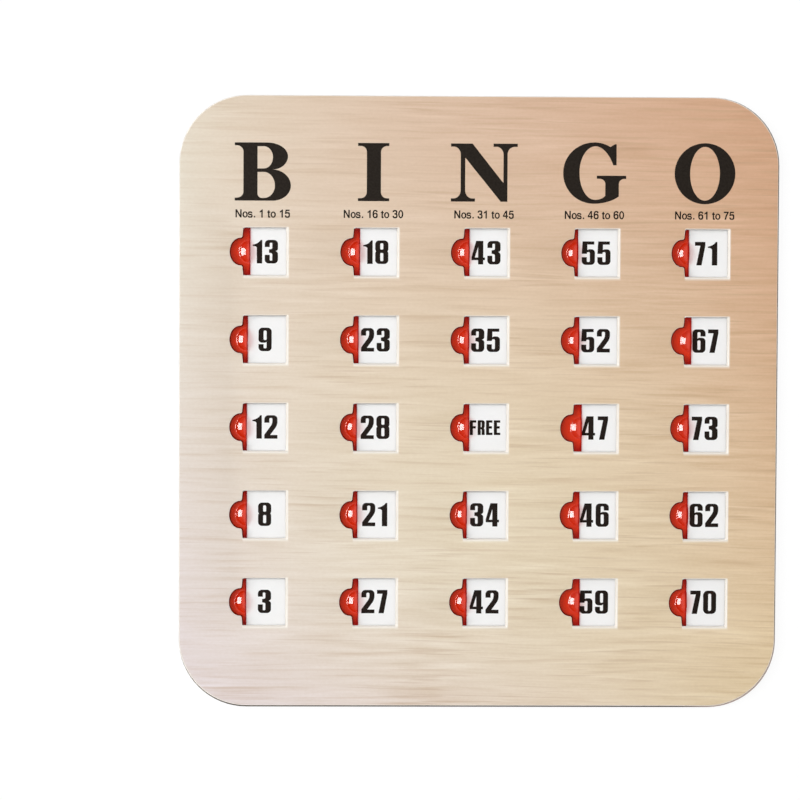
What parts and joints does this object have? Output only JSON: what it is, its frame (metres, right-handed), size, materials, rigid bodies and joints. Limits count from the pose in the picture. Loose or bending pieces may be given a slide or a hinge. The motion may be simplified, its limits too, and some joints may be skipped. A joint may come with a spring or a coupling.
{
  "type": "bingo card",
  "caption": "Laminated game card with rows of windows, each closed by a clear red shutter that slides in a pocket behind the face to cover a number.",
  "frame": {"origin": "the middle of the card's back, which lies on the table", "axes": "+X along the rows to the right, +Y up the columns towards the header, +Z out of the face"},
  "size_m": [0.19, 0.194, 0.0027],
  "materials": {
    "back_board": "matt coated white board",
    "number_sheet": "matt white paper with printed numbers",
    "core_board": "raw grey-brown chipboard",
    "face_board": "white board, cut edges",
    "face_print": "pale wood grain print under a gloss film",
    "shutter": "clear red moulded plastic"
  },
  "bodies": {
    "card": {"back_board": "back_board", "number_sheet": "number_sheet", "core_board": "core_board", "face_board": "face_board", "face_print": "face_print"},
    "shutter_b1": {"shutter_b1": "shutter"},
    "shutter_b2": {"shutter_b2": "shutter"},
    "shutter_b3": {"shutter_b3": "shutter"},
    "shutter_b4": {"shutter_b4": "shutter"},
    "shutter_b5": {"shutter_b5": "shutter"},
    "shutter_i1": {"shutter_i1": "shutter"},
    "shutter_i2": {"shutter_i2": "shutter"},
    "shutter_i3": {"shutter_i3": "shutter"},
    "shutter_i4": {"shutter_i4": "shutter"},
    "shutter_i5": {"shutter_i5": "shutter"},
    "shutter_n1": {"shutter_n1": "shutter"},
    "shutter_n2": {"shutter_n2": "shutter"},
    "shutter_n3": {"shutter_n3": "shutter"},
    "shutter_n4": {"shutter_n4": "shutter"},
    "shutter_n5": {"shutter_n5": "shutter"},
    "shutter_g1": {"shutter_g1": "shutter"},
    "shutter_g2": {"shutter_g2": "shutter"},
    "shutter_g3": {"shutter_g3": "shutter"},
    "shutter_g4": {"shutter_g4": "shutter"},
    "shutter_g5": {"shutter_g5": "shutter"},
    "shutter_o1": {"shutter_o1": "shutter"},
    "shutter_o2": {"shutter_o2": "shutter"},
    "shutter_o3": {"shutter_o3": "shutter"},
    "shutter_o4": {"shutter_o4": "shutter"},
    "shutter_o5": {"shutter_o5": "shutter"}
  },
  "joints": [
    {"name": "slide_b1", "type": "slide", "parent": "card", "child": "shutter_b1", "axis": [1, 0, 0], "range_m": [-0.00126, 0.01124]},
    {"name": "slide_b2", "type": "slide", "parent": "card", "child": "shutter_b2", "axis": [1, 0, 0], "range_m": [-0.00054, 0.01196]},
    {"name": "slide_b3", "type": "slide", "parent": "card", "child": "shutter_b3", "axis": [1, 0, 0], "range_m": [-0.00027, 0.01223]},
    {"name": "slide_b4", "type": "slide", "parent": "card", "child": "shutter_b4", "axis": [1, 0, 0], "range_m": [-0.00036, 0.01214]},
    {"name": "slide_b5", "type": "slide", "parent": "card", "child": "shutter_b5", "axis": [1, 0, 0], "range_m": [-0.00018, 0.01232]},
    {"name": "slide_i1", "type": "slide", "parent": "card", "child": "shutter_i1", "axis": [1, 0, 0], "range_m": [-0.00099, 0.01151]},
    {"name": "slide_i2", "type": "slide", "parent": "card", "child": "shutter_i2", "axis": [1, 0, 0], "range_m": [-0.00063, 0.01187]},
    {"name": "slide_i3", "type": "slide", "parent": "card", "child": "shutter_i3", "axis": [1, 0, 0], "range_m": [-0.00018, 0.01232]},
    {"name": "slide_i4", "type": "slide", "parent": "card", "child": "shutter_i4", "axis": [1, 0, 0], "range_m": [-0.00045, 0.01205]},
    {"name": "slide_i5", "type": "slide", "parent": "card", "child": "shutter_i5", "axis": [1, 0, 0], "range_m": [-0.00081, 0.01169]},
    {"name": "slide_n1", "type": "slide", "parent": "card", "child": "shutter_n1", "axis": [1, 0, 0], "range_m": [-0.00072, 0.01178]},
    {"name": "slide_n2", "type": "slide", "parent": "card", "child": "shutter_n2", "axis": [1, 0, 0], "range_m": [-0.00072, 0.01178]},
    {"name": "slide_n3", "type": "slide", "parent": "card", "child": "shutter_n3", "axis": [1, 0, 0], "range_m": [-0.0009, 0.0116]},
    {"name": "slide_n4", "type": "slide", "parent": "card", "child": "shutter_n4", "axis": [1, 0, 0], "range_m": [-0.00027, 0.01223]},
    {"name": "slide_n5", "type": "slide", "parent": "card", "child": "shutter_n5", "axis": [1, 0, 0], "range_m": [-0.00036, 0.01214]},
    {"name": "slide_g1", "type": "slide", "parent": "card", "child": "shutter_g1", "axis": [1, 0, 0], "range_m": [-0.00018, 0.01232]},
    {"name": "slide_g2", "type": "slide", "parent": "card", "child": "shutter_g2", "axis": [1, 0, 0], "range_m": [-0.00072, 0.01178]},
    {"name": "slide_g3", "type": "slide", "parent": "card", "child": "shutter_g3", "axis": [1, 0, 0], "range_m": [-0.00171, 0.01079]},
    {"name": "slide_g4", "type": "slide", "parent": "card", "child": "shutter_g4", "axis": [1, 0, 0], "range_m": [-0.00117, 0.01133]},
    {"name": "slide_g5", "type": "slide", "parent": "card", "child": "shutter_g5", "axis": [1, 0, 0], "range_m": [-0.00144, 0.01106]},
    {"name": "slide_o1", "type": "slide", "parent": "card", "child": "shutter_o1", "axis": [1, 0, 0], "range_m": [-0.00045, 0.01205]},
    {"name": "slide_o2", "type": "slide", "parent": "card", "child": "shutter_o2", "axis": [1, 0, 0], "range_m": [-0.00144, 0.01106]},
    {"name": "slide_o3", "type": "slide", "parent": "card", "child": "shutter_o3", "axis": [1, 0, 0], "range_m": [-0.00081, 0.01169]},
    {"name": "slide_o4", "type": "slide", "parent": "card", "child": "shutter_o4", "axis": [1, 0, 0], "range_m": [-0.00072, 0.01178]},
    {"name": "slide_o5", "type": "slide", "parent": "card", "child": "shutter_o5", "axis": [1, 0, 0], "range_m": [-0.00054, 0.01196]}
  ]
}
